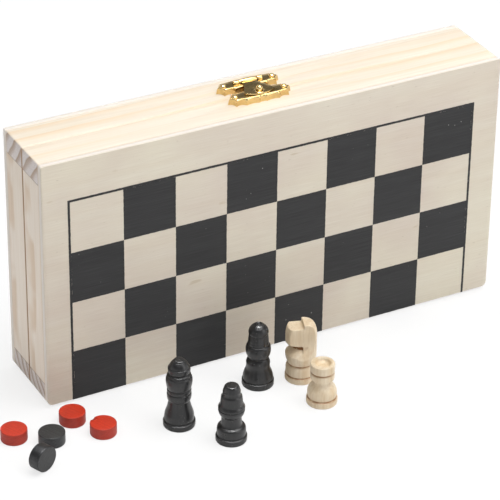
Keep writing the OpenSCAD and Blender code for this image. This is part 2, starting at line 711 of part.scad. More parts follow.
front_panel();
front_hinge_rail();
front_latch_rail();
front_left_rail();
front_right_rail();
rear_panel();
rear_hinge_rail();
rear_latch_rail();
rear_left_rail();
rear_right_rail();
front_board_print();
rear_board_print();
front_points_dark();
front_points_red();
rear_points_dark();
rear_points_red();
left_hinge_front_leaf();
left_hinge_rear_leaf();
left_hinge_pin();
right_hinge_front_leaf();
right_hinge_rear_leaf();
right_hinge_pin();
front_hinge_nails();
rear_hinge_nails();
clasp_catch_plate();
clasp_stud();
clasp_catch_nails();
clasp_hinge_plate();
clasp_pin();
clasp_hinge_nails();
clasp_tongue();
black_king();
black_queen();
black_bishop();
white_knight();
white_rook();
red_disc_left();
red_disc_middle();
red_disc_right();
black_disc_flat();
black_disc_on_edge();
packed_black_pawns();
packed_white_pawns();
packed_black_rooks();
packed_white_rook();
packed_black_knights();
packed_white_knight();
packed_black_bishop();
packed_white_bishops();
packed_white_queen();
packed_white_king();
packed_red_discs();
packed_black_discs();
packed_dice();
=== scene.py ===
import math
import random

import bmesh
import bpy
from mathutils import Matrix, Quaternion, Vector


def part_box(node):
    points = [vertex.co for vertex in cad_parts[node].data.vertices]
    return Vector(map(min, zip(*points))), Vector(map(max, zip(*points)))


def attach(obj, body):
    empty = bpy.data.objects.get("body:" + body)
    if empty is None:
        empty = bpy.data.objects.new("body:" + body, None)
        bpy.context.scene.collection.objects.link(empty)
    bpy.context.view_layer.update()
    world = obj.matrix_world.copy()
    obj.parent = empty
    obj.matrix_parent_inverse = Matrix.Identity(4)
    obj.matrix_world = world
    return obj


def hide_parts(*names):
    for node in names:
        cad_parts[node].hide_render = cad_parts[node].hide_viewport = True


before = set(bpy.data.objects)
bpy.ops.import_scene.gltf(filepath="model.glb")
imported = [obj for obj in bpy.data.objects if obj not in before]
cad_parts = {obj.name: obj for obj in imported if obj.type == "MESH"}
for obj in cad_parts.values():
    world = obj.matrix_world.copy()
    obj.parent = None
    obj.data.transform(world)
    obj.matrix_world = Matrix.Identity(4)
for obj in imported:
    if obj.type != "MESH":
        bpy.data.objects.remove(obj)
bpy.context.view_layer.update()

# Camera: a long lens held above and to the left of the set, a little tilted to the left,
# as the product photographer stood.
MM = 0.001
camera_at = Vector((-475.7, -876.1, 655.1)) * MM
camera_aim = Vector((4.27, 19.30, 50.0)) * MM
camera_roll = math.radians(0.794)
camera = bpy.data.objects.new("camera", bpy.data.cameras.new("camera"))
bpy.context.scene.collection.objects.link(camera)
camera.data.sensor_width = 36
camera.data.lens = 189.7
camera.data.clip_start = 0.05
camera.data.clip_end = 20
camera.rotation_mode = "QUATERNION"
camera.location = camera_at
camera.rotation_quaternion = (camera_aim - camera_at).to_track_quat("-Z", "Y") @ Quaternion(
    (0, 0, 1), camera_roll
)
bpy.context.scene.camera = camera
bpy.context.scene.view_settings.view_transform = "Standard"


# Studio: a white table and white paper behind it. The light is soft and comes mostly from
# above, and the room round the table is dim, which the brass mirrors.
def linear(red, green, blue):
    """A colour given in the 0 to 255 of a screen, as the shader wants it."""
    channels = [c / 255 for c in (red, green, blue)]
    return [c / 12.92 if c <= 0.04045 else ((c + 0.055) / 1.055) ** 2.4 for c in channels] + [1]


def new_material(name):
    """A material and its node tree, with a Principled shader wired to the output."""
    material = bpy.data.materials.new(name)
    material.use_nodes = True
    tree = material.node_tree
    tree.nodes.clear()
    output = tree.nodes.new("ShaderNodeOutputMaterial")
    shader = tree.nodes.new("ShaderNodeBsdfPrincipled")
    tree.links.new(shader.outputs[0], output.inputs[0])
    return material, tree, shader


def wired(tree, socket, value):
    """Links a socket to another, or sets it to a plain value."""
    if isinstance(value, bpy.types.NodeSocket):
        tree.links.new(value, socket)
    else:
        socket.default_value = value


def node_of(tree, kind, *firsts, **named):
    """A shader node with settings and sockets filled in by name, and its first sockets in order."""
    made = tree.nodes.new(kind)
    for key, value in named.items():
        if key in made.inputs:
            wired(tree, made.inputs[key], value)
        else:
            setattr(made, key, value)
    for socket, value in zip(made.inputs, firsts):
        wired(tree, socket, value)
    return made


def worked(tree, operation, *values):
    """The result of a Math node on sockets or plain values."""
    return node_of(tree, "ShaderNodeMath", *values, operation=operation).outputs[0]


def ramp(tree, source, stops):
    """A colour ramp fed by a value. Its stops are places with screen colours of three numbers
    or linear ones of four."""
    made = node_of(tree, "ShaderNodeValToRGB", source)
    while len(made.color_ramp.elements) < len(stops):
        made.color_ramp.elements.new(0.5)
    for element, (place, colour) in zip(made.color_ramp.elements, stops):
        element.position = place
        element.color = colour if len(colour) == 4 else linear(*colour)
    return made.outputs["Color"]


floor_mesh = bpy.data.meshes.new("floor")
floor_bm = bmesh.new()
bmesh.ops.create_grid(floor_bm, x_segments=1, y_segments=1, size=4)
floor_bm.to_mesh(floor_mesh)
floor_bm.free()
floor = bpy.data.objects.new("floor", floor_mesh)
bpy.context.scene.collection.objects.link(floor)
floor_material, tree, shader = new_material("white_table")
shader.inputs["Base Color"].default_value = linear(250, 250, 250)
shader.inputs["Roughness"].default_value = 0.9
shader.inputs["Specular IOR Level"].default_value = 0.0
# The camera sees the white paper through most of the table, so shadows stay faint and the
# tray that swings below the table's level still shows.
paper_share = 0.72
ray = node_of(tree, "ShaderNodeLightPath")
seen_through = worked(tree, "MULTIPLY", ray.outputs["Is Camera Ray"], paper_share)
thin = node_of(tree, "ShaderNodeBsdfTransparent")
blend = node_of(tree, "ShaderNodeMixShader", seen_through, shader.outputs[0], thin.outputs[0])
tree.links.new(blend.outputs[0], tree.nodes["Material Output"].inputs[0])
floor_mesh.materials.append(floor_material)

world = bpy.data.worlds.new("studio")
bpy.context.scene.world = world
world.use_nodes = True
tree = world.node_tree
tree.nodes.clear()
direction = node_of(tree, "ShaderNodeTexCoord")
height = node_of(tree, "ShaderNodeSeparateXYZ", direction.outputs["Generated"]).outputs["Z"]
shade = ramp(tree, height, [
    (0, (0.42, 0.41, 0.40, 1)), (0.30, (0.16, 0.16, 0.16, 1)), (0.60, (0.17, 0.17, 0.17, 1)),
    (0.74, (0.95, 0.95, 0.95, 1)), (1, (1.1, 1.1, 1.1, 1)),
])
# Metal mirrors the white paper too, up to where the paper ends and the dim room begins. A
# small bright lamp straight overhead shows only in polish and metal, as crisp highlights.
ray = node_of(tree, "ShaderNodeLightPath")
glossy = ray.outputs["Is Glossy Ray"]
paper_top = node_of(tree, "ShaderNodeMapRange", height, **{"From Min": 0.34, "From Max": 0.20})
white = worked(tree, "MULTIPLY", glossy, paper_top.outputs[0])
for kind in ("Is Camera Ray", "Is Transmission Ray"):
    white = worked(tree, "MAXIMUM", white, ray.outputs[kind])
zenith = node_of(
    tree, "ShaderNodeMapRange", height, **{"From Min": 0.965, "From Max": 0.985, "To Max": 26}
)
glint = worked(tree, "MULTIPLY_ADD", zenith.outputs[0], glossy, 1)
room = node_of(tree, "ShaderNodeBackground", shade, glint)
paper = node_of(tree, "ShaderNodeBackground", (1, 1, 1, 1))
seen = node_of(tree, "ShaderNodeMixShader", white, room.outputs[0], paper.outputs[0])
node_of(tree, "ShaderNodeOutputWorld", seen.outputs[0])


def softbox(name, at, aim, size, watts):
    """A square area lamp that hangs at one point and faces another."""
    lamp = bpy.data.lights.new(name, "AREA")
    lamp.shape = "SQUARE"
    lamp.size = size
    lamp.energy = watts
    holder = bpy.data.objects.new(name, lamp)
    bpy.context.scene.collection.objects.link(holder)
    holder.location = at
    holder.rotation_euler = (Vector(aim) - Vector(at)).to_track_quat("-Z", "Y").to_euler()


softbox("overhead", (0.35, -0.15, 1.3), (0, 0, 0), 0.9, 10)
softbox("fill", (0.9, -1.1, 0.7), (0, 0, 0.05), 0.8, 4.6)


# Plywood panels: three thin plies, faced with pale, straight-grained veneer, sawn and sanded
# flush with the rails and glued to them. The plies show all round the edge.
front_low, front_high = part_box("front_panel")
rear_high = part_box("rear_panel")[1]
case_mid_x = (front_low.x + front_high.x) / 2
seam_y = (front_low.y + rear_high.y) / 2
fold_edge_z, latch_edge_z = front_low.z, front_high.z
half_width = (front_high.x - front_low.x) / 2
face_depth, glue_depth = seam_y - front_low.y, seam_y - front_high.y
weld, level_slack = 0.002 * MM, 0.01 * MM


def broken(bm, width, segments=2, above=30):
    """Rounds the edges of a mesh that are sharper than an angle."""
    limit = math.radians(above)
    sharp = [e for e in bm.edges if len(e.link_faces) == 2 and e.calc_face_angle() > limit]
    bmesh.ops.bevel(
        bm, geom=sharp, offset=width, segments=segments, profile=0.5, affect="EDGES",
        clamp_overlap=True, material=-1,
    )


def softened(node, name, ease, shut_gap=None):
    """A copy of a CAD node with its sharp edges broken, as sanding leaves them. With a shut gap
    given, its rim comes up to half of that from the seam."""
    bm = bmesh.new()
    bm.from_mesh(bpy.data.objects[node].data)
    bmesh.ops.remove_doubles(bm, verts=bm.verts, dist=weld)
    if shut_gap:
        rim = min(abs(vert.co.y - seam_y) for vert in bm.verts)
        for vert in bm.verts:
            if abs(abs(vert.co.y - seam_y) - rim) < level_slack:
                vert.co.y = seam_y + math.copysign(shut_gap / 2, vert.co.y - seam_y)
    bmesh.ops.dissolve_limit(
        bm, angle_limit=math.radians(0.5), verts=bm.verts, edges=bm.edges, delimit={"NORMAL"}
    )
    if ease:
        broken(bm, ease)
    bmesh.ops.triangulate(bm, faces=[f for f in bm.faces if len(f.verts) > 4])
    return finished(bm, name)


def finished(bm, name, sharp_above=35):
    """Turns a bmesh into a smooth-shaded object that stands at the origin."""
    mesh = bpy.data.meshes.new(name)
    bm.to_mesh(mesh)
    bm.free()
    mesh.shade_smooth()
    mesh.set_sharp_from_angle(angle=math.radians(sharp_above))
    piece = bpy.data.objects.new(name, mesh)
    bpy.context.scene.collection.objects.link(piece)
    return piece


def dress(piece, body, material, node):
    """Gives a piece its material and its body, and hides the CAD node that it stands for."""
    piece.data.materials.append(material)
    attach(piece, body)
    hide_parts(node)


def apart(tree, first, second):
    """How far two values are from each other."""
    return worked(tree, "ABSOLUTE", worked(tree, "SUBTRACT", first, second))


def fade(tree, value, start, end):
    """0 before start, 1 after end and smooth between them; start may be the larger."""
    return node_of(tree, "ShaderNodeMapRange", value, interpolation_type="SMOOTHSTEP", **{
        "From Min": min(start, end), "From Max": max(start, end),
        "To Min": int(start > end), "To Max": int(start < end),
    }).outputs[0]


def mapped(tree, scale=(1, 1, 1), location=(0, 0, 0), rotation=(0, 0, 0)):
    """Object coordinates, moved, turned and scaled."""
    place = node_of(tree, "ShaderNodeTexCoord").outputs["Object"]
    return node_of(
        tree, "ShaderNodeMapping", place, Scale=scale, Location=location, Rotation=rotation
    ).outputs[0]


def noise_of(tree, scale, detail=3.0, roughness=0.55, vector=None, location=(0, 0, 0)):
    """A noise on Object coordinates or a vector. Three numbers as scale stretch it."""
    if isinstance(scale, tuple):
        vector, scale = mapped(tree, scale, location), 1.0
    return node_of(
        tree, "ShaderNodeTexNoise", mapped(tree) if vector is None else vector, Scale=scale,
        Detail=detail, Roughness=roughness,
    ).outputs["Fac"]


def mixed(tree, first, second, share, blend="MIX"):
    """Two colours mixed. Each is a socket or a colour as a ramp takes it."""
    made = node_of(tree, "ShaderNodeMix", data_type="RGBA", blend_type=blend)
    wired(tree, made.inputs[0], share)
    for socket, value in ((made.inputs[6], first), (made.inputs[7], second)):
        screen = isinstance(value, tuple) and len(value) == 3
        wired(tree, socket, linear(*value) if screen else value)
    return made.outputs[2]


def shaded(tree, colour, source, stops, share=1.0):
    """A colour multiplied by a ramp."""
    return mixed(tree, colour, ramp(tree, source, stops), share, "MULTIPLY")


def stained(tree, colour, stain, share, *shares):
    """A colour with a stain over it, as strong as the product of its shares."""
    for value in shares:
        share = worked(tree, "MULTIPLY", share, value)
    return mixed(tree, colour, stain, share)


def surfaced(tree, shader, colour, roughness, relief, strength, depth, **others):
    """Gives a shader its colour, its roughness, a bump of a full depth and other inputs."""
    made = node_of(tree, "ShaderNodeBump", Height=relief, Strength=strength, Distance=depth)
    inputs = {"Base Color": colour, "Roughness": roughness, "Normal": made.outputs[0], **others}
    for key, value in inputs.items():
        wired(tree, shader.inputs[key], value)


def case_places(tree):
    """Where a point of the case lies: its X and Z, and its depth out from the seam."""
    x, y, z = node_of(tree, "ShaderNodeSeparateXYZ", mapped(tree)).outputs
    return x, z, apart(tree, y, seam_y)


def veneer_grain(tree):
    """Fine straight fibres along the case, and the broad figure of the veneer."""
    return noise_of(tree, (60, 1, 2600), 3.0, 0.6), noise_of(tree, (7, 1, 170), 3.0, 0.5)


veneer, tree, shader = new_material("birch_veneer")
fine, broad = veneer_grain(tree)
face = ramp(tree, fine, [(0.28, (217, 209, 193)), (0.5, (222, 215, 200)), (0.72, (227, 221, 207))])
face = shaded(tree, face, broad, [(0.3, (251, 248, 245)), (0.7, (255, 255, 255))])
face = shaded(tree, face, noise_of(tree, 16.0), [(0.35, (245, 240, 241)), (0.62, (255, 255, 252))])
pores = noise_of(tree, (330, 1, 1900), 1.0)
face = stained(tree, face, (168, 152, 132), fade(tree, pores, 0.70, 0.80), 0.55)
knots = noise_of(tree, (60, 1, 240), 2.0, location=(3.1, 0, 1.7))
face = stained(tree, face, (188, 168, 138), fade(tree, knots, 0.70, 0.78), 0.5)
depth = case_places(tree)[2]
ply = worked(
    tree, "DIVIDE", worked(tree, "SUBTRACT", depth, glue_depth), face_depth - glue_depth
)
plies = ramp(tree, ply, [
    (0, (208, 186, 162)), (0.06, (238, 228, 214)), (0.20, (234, 224, 211)),
    (0.24, (218, 205, 190)), (0.30, (233, 225, 217)), (0.72, (234, 226, 217)),
    (0.78, (214, 201, 186)), (0.84, (228, 219, 208)), (1, (225, 217, 206)),
])
face = mixed(tree, face, plies, fade(tree, ply, 0.985, 0.90))
surfaced(tree, shader, face, 0.6, fine, 0.3, 0.05 * MM)

for half in ("front", "rear"):
    panel = softened(f"{half}_panel", f"{half}_panel_board", 0.22 * MM)
    dress(panel, f"{half}_case", veneer, f"{half}_panel")


# Pine rails: planed and sanded strips, glued round each panel. The long ones run the full
# length and show their end grain at the short sides, where the rings are bold. The chamfered
# rims are browned towards the seam as painted shade of the crevice there, less so on top.
rail_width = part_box("front_latch_rail")[1].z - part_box("front_latch_rail")[0].z
case_middle_z = (fold_edge_z + latch_edge_z) / 2
half_height = (latch_edge_z - fold_edge_z) / 2
rims_apart = 0.14 * MM
ring_sway = 7 * MM
lengthways, upright = (0, 0, 0), (0, math.radians(90), 0)


def pine_material(name, turn, pith, light, dark, spacing):
    """Pine whose rings run round a pith line; turn brings the local X axis along the grain."""
    material, tree, shader = new_material(name)
    vector = mapped(tree, rotation=turn, location=[-p * MM for p in pith])
    stretch = node_of(tree, "ShaderNodeMapping", vector, Scale=(11, 46, 46))
    drift = node_of(tree, "ShaderNodeTexNoise", stretch.outputs[0], Scale=1.0, Detail=2.0)
    wander = node_of(
        tree, "ShaderNodeVectorMath", drift.outputs["Color"], (0, ring_sway, ring_sway),
        vector, operation="MULTIPLY_ADD",
    )
    rings = node_of(
        tree, "ShaderNodeTexWave", wander.outputs[0], wave_type="RINGS", rings_direction="X",
        wave_profile="SAW", Scale=math.tau / (20 * spacing * MM), Distortion=0.0,
    )
    latewood = ramp(tree, rings.outputs["Fac"], [
        (0, (0, 0, 0, 1)), (0.45, (0.12, 0.12, 0.12, 1)), (0.70, (0.75, 0.75, 0.75, 1)),
        (0.90, (1, 1, 1, 1)), (1, (0.05, 0.05, 0.05, 1)),
    ])
    fibre_map = node_of(tree, "ShaderNodeMapping", vector, Scale=(25, 900, 900))
    fibres = noise_of(tree, 1.0, 4.0, 0.6, vector=fibre_map.outputs[0])
    strong = noise_of(tree, (4, 70, 70), 1.0)
    side = stained(tree, light, dark, latewood, fade(tree, strong, 0.34, 0.62))
    side = shaded(tree, side, fibres, [(0.3, (245, 241, 235)), (0.65, (255, 255, 255))], 0.8)
    end_grain = mixed(tree, (226, 219, 216), (178, 152, 130), latewood)
    end_grain = shaded(tree, end_grain, noise_of(tree, 2600.0, 2.0), [
        (0.35, (228, 222, 220)), (0.6, (255, 255, 255)),
    ], 0.8)
    x, z, depth = case_places(tree)
    from_mid = apart(tree, x, case_mid_x)
    at_end = fade(tree, from_mid, half_width - 0.45 * MM, half_width - 0.1 * MM)
    wood = mixed(tree, side, end_grain, at_end) if turn == lengthways else side
    up = apart(tree, z, case_middle_z)
    joint = fade(tree, apart(tree, up, half_height - rail_width), 0.35 * MM, 0.1 * MM)
    wood = stained(tree, wood, (150, 126, 104), joint, at_end, 0.55)
    outside = worked(
        tree, "MAXIMUM", worked(tree, "SUBTRACT", from_mid, half_width),
        worked(tree, "SUBTRACT", up, half_height),
    )
    # Painted shade: the rims darken to brown towards the seam, as the crevice's shade, and less on
    # top, where more light reaches in.
    seam_shade = fade(tree, depth, 0.85 * MM, 0.45 * MM)
    on_top = fade(tree, z, latch_edge_z - 1.2 * MM, latch_edge_z - 0.5 * MM)
    seam_shade_share = worked(tree, "SUBTRACT", 0.9, worked(tree, "MULTIPLY", on_top, 0.8))
    at_rim = fade(tree, outside, -1.3 * MM, -0.7 * MM)
    wood = stained(tree, wood, (160, 120, 78), seam_shade, at_rim, seam_shade_share)
    at_glue = fade(tree, depth, glue_depth - 0.35 * MM, glue_depth)
    at_edge = fade(tree, outside, -0.8 * MM, -0.3 * MM)
    wood = stained(tree, wood, (206, 182, 156), at_glue, at_edge, 0.6)
    surfaced(tree, shader, wood, 0.5, fibres, 0.2, 0.08 * MM)
    return material


pine_latch = pine_material(
    "pine_latch", lengthways, (0, -28, 71), (238, 227, 211), (236, 215, 186), 6.4
)
pine_hinge = pine_material(
    "pine_hinge", lengthways, (0, -24, 52), (245, 236, 220), (240, 220, 191), 4.4
)
pine_short = pine_material(
    "pine_short", upright, (0, 84, -80), (244, 232, 218), (226, 203, 178), 5.2
)
for half in ("front", "rear"):
    for rail, wood in (
        ("hinge", pine_hinge), ("latch", pine_latch), ("left", pine_short), ("right", pine_short)
    ):
        node = f"{half}_{rail}_rail"
        strip = softened(node, f"{half}_{rail}_strip", 0.2 * MM, shut_gap=rims_apart)
        dress(strip, f"{half}_case", wood, node)


# Printed chessboard: dark grey screen print on the bare veneer, half on each tray. The edges
# of the squares are a little ragged, as the mesh of the screen leaves them.
board_square = 25 * MM
board_columns, board_rows = 8, 4
board_shift = -0.5 * MM
board_line = 1.1 * MM
print_ragged = 0.055 * MM
print_step = 0.9 * MM


def pushed(bm, grown, by):
    """Moves what an extrusion has grown."""
    verts = [g for g in grown["geom"] if isinstance(g, bmesh.types.BMVert)]
    bmesh.ops.translate(bm, verts=verts, vec=by)


def printed_patch(bm, low, high, y, thickness, draw):
    """A rectangle of ink in X and Z with ragged edges, laid on a face at y."""
    corners = [(low[0], low[1]), (high[0], low[1]), (high[0], high[1]), (low[0], high[1])]
    verts = []
    for (x0, z0), (x1, z1) in zip(corners, corners[1:] + corners[:1]):
        length = math.hypot(x1 - x0, z1 - z0)
        steps = max(1, round(length / print_step))
        across = ((z1 - z0) / length, -(x1 - x0) / length)
        for i in range(steps):
            t = i / steps
            off = draw.uniform(-1, 1) * print_ragged if i else 0
            verts.append(bm.verts.new((
                x0 + (x1 - x0) * t + across[0] * off, y, z0 + (z1 - z0) * t + across[1] * off
            )))
    patch = bm.faces.new(verts)
    pushed(bm, bmesh.ops.extrude_face_region(bm, geom=[patch]), (0, thickness, 0))


ink, tree, shader = new_material("grey_print")
fine, broad = veneer_grain(tree)
tone = ramp(tree, fine, [(0.30, (42, 42, 43)), (0.52, (49, 49, 50)), (0.74, (58, 58, 59))])
tone = shaded(tree, tone, broad, [(0.3, (226, 226, 226)), (0.7, (255, 255, 255))])
dust = noise_of(tree, (900, 900, 900), 0.0)
tone = mixed(tree, tone, (150, 148, 146), fade(tree, dust, 0.845, 0.87))
surfaced(tree, shader, tone, 0.62, fine, 0.35, 0.05 * MM, **{"Specular IOR Level": 0.35})

board_left = case_mid_x + board_shift - board_columns / 2 * board_square
board_right = board_left + board_columns * board_square
board_top = fold_edge_z + board_rows * board_square
bar_gap, bar_top = 0.01 * MM, board_top + board_line
for half, dark_first in (("front", True), ("rear", False)):
    low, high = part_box(f"{half}_board_print")
    outer_y, into = (low.y, high.y - low.y) if half == "front" else (high.y, low.y - high.y)
    draw = random.Random(5)
    board_bm = bmesh.new()
    for column in range(board_columns):
        for row in range(board_rows):
            if (column + row) % 2 == (0 if dark_first else 1):
                x0, z0 = board_left + column * board_square, fold_edge_z + row * board_square
                printed_patch(
                    board_bm, (x0, z0), (x0 + board_square, z0 + board_square), outer_y, into, draw
                )
    for bar_low, bar_high in (
        ((board_left - board_line, fold_edge_z), (board_left - bar_gap, bar_top)),
        ((board_right + bar_gap, fold_edge_z), (board_right + board_line, bar_top)),
        ((board_left, board_top + bar_gap), (board_right, bar_top)),
    ):
        printed_patch(board_bm, bar_low, bar_high, outer_y, into, draw)
    bmesh.ops.recalc_face_normals(board_bm, faces=board_bm.faces)
    bmesh.ops.triangulate(board_bm, faces=board_bm.faces)
    board = finished(board_bm, f"{half}_board_ink")
    dress(board, f"{half}_case", ink, f"{half}_board_print")


# Backgammon points: the same screen print, in grey and in brick red by turns, on the inner
# face of each panel.
red_ink, tree, shader = new_material("red_print")
fine = veneer_grain(tree)[0]
tone = ramp(tree, fine, [(0.30, (150, 48, 36)), (0.52, (164, 56, 42)), (0.74, (176, 66, 50))])
surfaced(tree, shader, tone, 0.62, fine, 0.35, 0.05 * MM)
for half in ("front", "rear"):
    for colour, material in (("dark", ink), ("red", red_ink)):
        points = softened(f"{half}_points_{colour}", f"{half}_{colour}_points", 0)
        dress(points, f"{half}_case", material, f"{half}_points_{colour}")


# Hinges: two small brass butt hinges let into the rims at the fold. Each leaf is stamped from
# sheet and rolled round the pin, and two countersunk nails hold it. All the brass has the same
# thin bright plating, with fine scratches and a little tarnish.
bright, tarnish = (0.77, 0.56, 0.25), 0.86
brass, tree, shader = new_material("brass_plate")
worn = fade(tree, noise_of(tree, 420.0), 0.42, 0.66)
tone = mixed(tree, (*bright, 1), (*(c * tarnish for c in bright), 1), worn)
scratched = node_of(tree, "ShaderNodeMapRange", noise_of(tree, (300, 2600, 2600)), **{
    "To Min": 0.078, "To Max": 0.195,
}).outputs[0]
dents = noise_of(tree, 900.0, 2.0)
surfaced(tree, shader, tone, scratched, dents, 0.25, 0.05 * MM, Metallic=1.0)
for side in ("left", "right"):
    for half in ("front", "rear"):
        node = f"{side}_hinge_{half}_leaf"
        leaf = softened(node, f"{side}_hinge_{half}_brass", 0.08 * MM)
        dress(leaf, f"{half}_case", brass, node)
    node = f"{side}_hinge_pin"
    dress(softened(node, f"{node}_wire", 0.1 * MM), "front_case", brass, node)
for half in ("front", "rear"):
    tacks = softened(f"{half}_hinge_nails", f"{half}_hinge_tacks", 0.04 * MM)
    dress(tacks, f"{half}_case", brass, f"{half}_hinge_nails")


# Clasp plates: two caps pressed from thin brass sheet, with pointed ends, a rounded shoulder
# and a steep scalloped skirt. They stand 0.6 mm taller than their CAD nodes and end 0.3 mm
# short of them, as in the photo. The rear one has a slot and two lugs for the tongue's hinge.
def middle(node):
    """The X, Y and Z of the middle of a node."""
    return [(low + high) / 2 for low, high in zip(*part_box(node))]


plate_low, plate_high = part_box("clasp_catch_plate")
plate_short, plate_rise = 0.6 * MM, 0.6 * MM
plate_length = plate_high.x - plate_low.x - plate_short
plate_width = plate_high.y - plate_low.y
plate_height = plate_high.z - plate_low.z + plate_rise
clasp_x, catch_y = middle("clasp_catch_plate")[:2]
roll_y, roll_z = middle("clasp_pin")[1:]
wood_z = plate_low.z
sheet = 0.5 * MM
skirt_side, skirt_tip = 0.6 * MM, 0.7 * MM
# Cusps of the scalloped edge as shares of half the length and half the width, from the tip to
# the middle, and the depth of the flute that runs to each from the one before it
edge_cusps = [(0.99, 0), (0.83, 0.85), (0.52, 0.98), (0.12, 1), (0, 0.88)]
flute_depths = [0.95 * MM, 1.2 * MM, 0.6 * MM, 0.3 * MM]
flute_steps = [12, 12, 12, 6]
# Rise of the skirt: share of the height, and how far it has drawn in by then
skirt_rise = [
    (0, 0), (0.1, 0.12), (0.3, 0.3), (0.5, 0.44), (0.66, 0.58), (0.78, 0.78), (0.87, 1.04),
    (0.94, 1.4), (0.98, 1.75), (1, 2.2),
]


def scalloped(drawn_in, flute_share):
    """A loop of points round a plate, as X and Y about its middle."""
    half_l = plate_length / 2 - skirt_tip * drawn_in
    half_w = plate_width / 2 - skirt_side * drawn_in
    cusps = [(a * half_l, b * half_w) for a, b in edge_cusps]
    quarter = [cusps[0]]
    for (x0, y0), (x1, y1), deep, steps in zip(cusps, cusps[1:], flute_depths, flute_steps):
        run = math.hypot(x1 - x0, y1 - y0)
        inward = ((y0 - y1) / run, (x1 - x0) / run)
        for i in range(1, steps + 1):
            t = i / steps
            sink = 4 * deep * flute_share * t * (1 - t)
            quarter.append((
                x0 + (x1 - x0) * t + inward[0] * sink, y0 + (y1 - y0) * t + inward[1] * sink
            ))
    upper = quarter + [(-px, py) for px, py in reversed(quarter[:-1])]
    return upper + [(px, -py) for px, py in reversed(upper[1:-1])]


def looped(bm, points, z):
    """A closed loop of edges through points, at a height."""
    verts = [bm.verts.new((px, py, z)) for px, py in points]
    return [bm.edges.new((a, b)) for a, b in zip(verts, verts[1:] + verts[:1])]


def pressed_plate(slot=None):
    """A cap of sheet brass about its own middle, with the wood at Z = 0."""
    bm = bmesh.new()
    edges = []
    for share, drawn_in in skirt_rise:
        upper = looped(bm, scalloped(drawn_in, 1 - share ** 2.5), share * plate_height)
        if edges:
            bmesh.ops.bridge_loops(bm, edges=edges + upper)
        edges = upper
    rim = looped(bm, slot, plate_height) if slot else []
    bmesh.ops.triangle_fill(bm, edges=edges + rim, use_beauty=True)
    if slot:
        pushed(bm, bmesh.ops.extrude_edge_only(bm, edges=rim), (0, 0, -sheet * 1.4))
    bmesh.ops.recalc_face_normals(bm, faces=bm.faces)
    if sum(f.normal.z * f.calc_area() for f in bm.faces) < 0:
        bmesh.ops.reverse_faces(bm, faces=bm.faces)
    bmesh.ops.solidify(bm, geom=bm.faces, thickness=sheet * 0.8)
    return bm


def assembled(name, parts, sharp_above=60):
    """One object made of meshes being built, each put in its place by a matrix."""
    whole = bmesh.new()
    for part, matrix in parts:
        carried = bpy.data.meshes.new("carried")
        part.to_mesh(carried)
        part.free()
        carried.transform(matrix)
        whole.from_mesh(carried)
        bpy.data.meshes.remove(carried)
    return finished(whole, name, sharp_above)


def in_mm(points):
    """Points whose numbers are millimetres."""
    return [(a * MM, b * MM) for a, b in points]


def eased(outline, reach):
    """An outline of points with each corner between two runs rounded off."""
    points = [Vector(p) for p in outline]
    result = [points[0]]
    for before, corner, after in zip(points, points[1:], points[2:]):
        start, end = (
            corner + (other - corner) * min(0.4, reach / max((other - corner).length, 1e-9))
            for other in (before, after)
        )
        result += [start, (start + end) / 4 + corner / 2, end]
    return result + [points[-1]]


def spun(outline, steps, closed=False):
    """A solid turned about Z from an outline of radius and height."""
    bm = bmesh.new()
    verts = [bm.verts.new((radius, 0, up)) for radius, up in outline]
    pairs = list(zip(verts, verts[1:])) + ([(verts[-1], verts[0])] if closed else [])
    edges = [bm.edges.new(pair) for pair in pairs]
    bmesh.ops.spin(
        bm, geom=verts + edges, cent=(0, 0, 0), axis=(0, 0, 1), angle=math.tau, steps=steps,
        use_merge=True,
    )
    bmesh.ops.remove_doubles(bm, verts=bm.verts, dist=weld / 4)
    bmesh.ops.recalc_face_normals(bm, faces=bm.faces)
    return bm


along_x = Matrix.Rotation(math.radians(90), 4, "Y")
at_catch = Matrix.Translation((clasp_x, catch_y, wood_z))
catch = assembled("clasp_catch_cap", [(pressed_plate(), at_catch)], 50)
dress(catch, "front_case", brass, "clasp_catch_plate")

roll_length, roll_radius, lug_gap = 9 * MM, 1.4 * MM, 0.15 * MM
slot_x, slot_y = roll_length / 2 + lug_gap, roll_radius + 0.05 * MM
lug_outline = in_mm([
    (0.45, 0), (1.1, 0), (1.22, 0.1), (1.25, 0.3), (1.25, 2.0), (1.22, 2.2), (1.1, 2.3),
    (0.45, 2.3),
])
lug_length, lug_radius = 2.4 * MM, 1.15 * MM
web_size = (lug_length * 0.9, lug_radius * 1.9, roll_z - wood_z - plate_height + sheet)
web_z = (roll_z + wood_z + plate_height - sheet) / 2
hinge_parts = [(pressed_plate([
    (-slot_x, -slot_y), (slot_x, -slot_y), (slot_x, slot_y), (-slot_x, slot_y)
]), Matrix.Translation((clasp_x, roll_y, wood_z)))]
for side in (-1, 1):
    lug_at = Matrix.Translation((clasp_x + side * slot_x, roll_y, roll_z))
    outward = Matrix.Rotation(math.radians(90 * side), 4, "Y")
    hinge_parts.append((spun(lug_outline, 40, closed=True), lug_at @ outward))
    web = bmesh.new()
    bmesh.ops.create_cube(web, size=1)
    bmesh.ops.scale(web, verts=web.verts, vec=web_size)
    broken(web, 0.15 * MM)
    web_x = clasp_x + side * (slot_x + lug_length / 2)
    hinge_parts.append((web, Matrix.Translation((web_x, roll_y, web_z))))
hinge_cap = assembled("clasp_hinge_cap", hinge_parts, 50)
dress(hinge_cap, "rear_case", brass, "clasp_hinge_plate")

